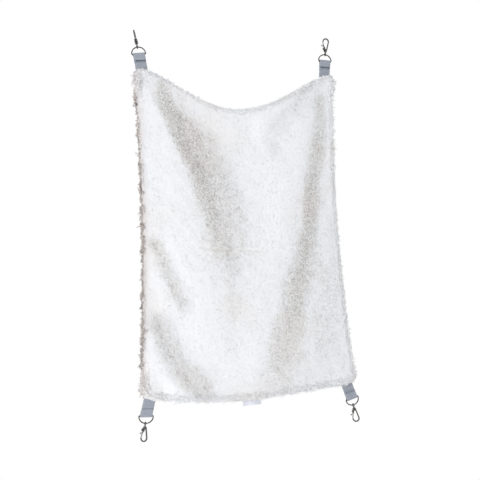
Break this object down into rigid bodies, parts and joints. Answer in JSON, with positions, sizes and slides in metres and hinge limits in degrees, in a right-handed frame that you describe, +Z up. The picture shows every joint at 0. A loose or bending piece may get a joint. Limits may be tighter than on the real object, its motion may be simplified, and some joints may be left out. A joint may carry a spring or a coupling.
{
  "type": "pet hammock",
  "caption": "Rectangular fleece mat that hangs by a short webbing strap, a D-ring and a swivel trigger hook at each corner, for a small pet to lie in.",
  "frame": {"origin": "midway between the two upper hooks, at the height of the rail that they hang on, in the mat's middle plane", "axes": "+X across the mat, to the right in the picture; -Y out of the curly front; +Z up"},
  "size_m": [0.3896, 0.0351, 0.6754],
  "materials": {
    "fleece": "curly sherpa pile, matt",
    "plush": "short plush pile, matt",
    "wadding": "bonded wadding",
    "label": "woven tape, matt",
    "webbing": "ribbed polypropylene webbing",
    "thread": "sewing thread",
    "nickel": "dark nickel plate, polished",
    "spring_steel": "rolled spring steel"
  },
  "bodies": {
    "mat": {"fleece_front_panel": "fleece", "plush_back_panel": "plush", "wadding_layer": "wadding", "care_label": "label", "strap_tail_top_left": "webbing", "strap_tail_top_right": "webbing", "strap_tail_bottom_left": "webbing", "strap_tail_bottom_right": "webbing"},
    "strap_top_left": {"webbing_strap_top_left": "webbing", "cross_stitch_top_left": "thread"},
    "ring_top_left": {"d_ring_top_left": "nickel"},
    "eye_top_left": {"swivel_eye_top_left": "nickel"},
    "hook_top_left": {"hook_body_top_left": "nickel", "trigger_pin_top_left": "nickel", "trigger_spring_top_left": "spring_steel"},
    "trigger_top_left": {"trigger_top_left": "nickel"},
    "strap_top_right": {"webbing_strap_top_right": "webbing", "cross_stitch_top_right": "thread"},
    "ring_top_right": {"d_ring_top_right": "nickel"},
    "eye_top_right": {"swivel_eye_top_right": "nickel"},
    "hook_top_right": {"hook_body_top_right": "nickel", "trigger_pin_top_right": "nickel", "trigger_spring_top_right": "spring_steel"},
    "trigger_top_right": {"trigger_top_right": "nickel"},
    "strap_bottom_left": {"webbing_strap_bottom_left": "webbing", "cross_stitch_bottom_left": "thread"},
    "ring_bottom_left": {"d_ring_bottom_left": "nickel"},
    "eye_bottom_left": {"swivel_eye_bottom_left": "nickel"},
    "hook_bottom_left": {"hook_body_bottom_left": "nickel", "trigger_pin_bottom_left": "nickel", "trigger_spring_bottom_left": "spring_steel"},
    "trigger_bottom_left": {"trigger_bottom_left": "nickel"},
    "strap_bottom_right": {"webbing_strap_bottom_right": "webbing", "cross_stitch_bottom_right": "thread"},
    "ring_bottom_right": {"d_ring_bottom_right": "nickel"},
    "eye_bottom_right": {"swivel_eye_bottom_right": "nickel"},
    "hook_bottom_right": {"hook_body_bottom_right": "nickel", "trigger_pin_bottom_right": "nickel", "trigger_spring_bottom_right": "spring_steel"},
    "trigger_bottom_right": {"trigger_bottom_right": "nickel"}
  },
  "joints": [
    {"name": "strap_flex_top_left", "type": "hinge", "parent": "mat", "child": "strap_top_left", "pos_m": [-0.16435, 0, -0.06274], "axis": [0.9945, 0, 0.1045], "range_deg": [-45, 45], "stiffness_Nm_per_rad": 0.01},
    {"name": "ring_swing_top_left", "type": "hinge", "parent": "strap_top_left", "child": "ring_top_left", "pos_m": [-0.16787, 0, -0.03891], "axis": [0.9945, 0, 0.1045], "range_deg": [-90, 90]},
    {"name": "eye_swing_top_left", "type": "hinge", "parent": "ring_top_left", "child": "eye_top_left", "pos_m": [-0.16998, 0, -0.02689], "axis": [0.9857, 0, 0.1685], "range_deg": [-50, 50]},
    {"name": "hook_swivel_top_left", "type": "hinge", "parent": "eye_top_left", "child": "hook_top_left", "pos_m": [-0.1708, 0, -0.02211], "axis": [-0.1685, 0, 0.9857], "continuous": true},
    {"name": "trigger_press_top_left", "type": "hinge", "parent": "hook_top_left", "child": "trigger_top_left", "pos_m": [-0.1728, -0.00279, -0.01514], "axis": [-0.9475, 0.2756, -0.162], "range_deg": [0, 30], "stiffness_Nm_per_rad": 0.004, "springref_deg": -20.05, "deforming": ["trigger_spring_top_left"]},
    {"name": "strap_flex_top_right", "type": "hinge", "parent": "mat", "child": "strap_top_right", "pos_m": [0.16428, 0, -0.06344], "axis": [0.9978, 0, -0.0663], "range_deg": [-45, 45], "stiffness_Nm_per_rad": 0.01},
    {"name": "ring_swing_top_right", "type": "hinge", "parent": "strap_top_right", "child": "ring_top_right", "pos_m": [0.16668, 0, -0.03983], "axis": [0.9978, 0, -0.0663], "range_deg": [-90, 90]},
    {"name": "eye_swing_top_right", "type": "hinge", "parent": "ring_top_right", "child": "eye_top_right", "pos_m": [0.16796, 0, -0.02769], "axis": [0.9947, 0, -0.1028], "range_deg": [-50, 50]},
    {"name": "hook_swivel_top_right", "type": "hinge", "parent": "eye_top_right", "child": "hook_top_right", "pos_m": [0.16846, 0, -0.02287], "axis": [0.1028, 0, 0.9947], "continuous": true},
    {"name": "trigger_press_top_right", "type": "hinge", "parent": "hook_top_right", "child": "trigger_top_right", "pos_m": [0.16632, 0, -0.01541], "axis": [0, 1, 0], "range_deg": [0, 30], "stiffness_Nm_per_rad": 0.004, "springref_deg": -20.05, "deforming": ["trigger_spring_top_right"]},
    {"name": "strap_flex_bottom_left", "type": "hinge", "parent": "mat", "child": "strap_bottom_left", "pos_m": [-0.17453, 0, -0.60763], "axis": [-0.9986, 0, 0.0523], "range_deg": [-45, 45], "stiffness_Nm_per_rad": 0.01},
    {"name": "ring_swing_bottom_left", "type": "hinge", "parent": "strap_bottom_left", "child": "ring_bottom_left", "pos_m": [-0.18113, 0, -0.63125], "axis": [-0.9986, 0, 0.0523], "range_deg": [-90, 90]},
    {"name": "eye_swing_bottom_left", "type": "hinge", "parent": "ring_bottom_left", "child": "eye_bottom_left", "pos_m": [-0.18292, 0, -0.64332], "axis": [-0.99, 0, 0.1409], "range_deg": [-50, 50]},
    {"name": "hook_swivel_bottom_left", "type": "hinge", "parent": "eye_bottom_left", "child": "hook_bottom_left", "pos_m": [-0.1836, 0, -0.64812], "axis": [-0.1409, 0, -0.99], "continuous": true},
    {"name": "trigger_press_bottom_left", "type": "hinge", "parent": "hook_bottom_left", "child": "trigger_bottom_left", "pos_m": [-0.1874, -0.0007, -0.65485], "axis": [0.2395, -0.9703, -0.0341], "range_deg": [0, 30], "stiffness_Nm_per_rad": 0.004, "springref_deg": -20.05, "deforming": ["trigger_spring_bottom_left"]},
    {"name": "strap_flex_bottom_right", "type": "hinge", "parent": "mat", "child": "strap_bottom_right", "pos_m": [0.17462, 0, -0.60635], "axis": [-0.9632, 0, -0.2689], "range_deg": [-45, 45], "stiffness_Nm_per_rad": 0.01},
    {"name": "ring_swing_bottom_right", "type": "hinge", "parent": "strap_bottom_right", "child": "ring_bottom_right", "pos_m": [0.18254, 0, -0.6296], "axis": [-0.9632, 0, -0.2689], "range_deg": [-90, 90]},
    {"name": "eye_swing_bottom_right", "type": "hinge", "parent": "ring_bottom_right", "child": "eye_bottom_right", "pos_m": [0.18447, 0, -0.64165], "axis": [-0.9863, 0, -0.165], "range_deg": [-50, 50]},
    {"name": "hook_swivel_bottom_right", "type": "hinge", "parent": "eye_bottom_right", "child": "hook_bottom_right", "pos_m": [0.18527, 0, -0.64644], "axis": [0.165, 0, -0.9863], "continuous": true},
    {"name": "trigger_press_bottom_right", "type": "hinge", "parent": "hook_bottom_right", "child": "trigger_bottom_right", "pos_m": [0.18375, 0.00094, -0.65399], "axis": [-0.3211, -0.9455, -0.0537], "range_deg": [0, 30], "stiffness_Nm_per_rad": 0.004, "springref_deg": -20.05, "deforming": ["trigger_spring_bottom_right"]}
  ]
}
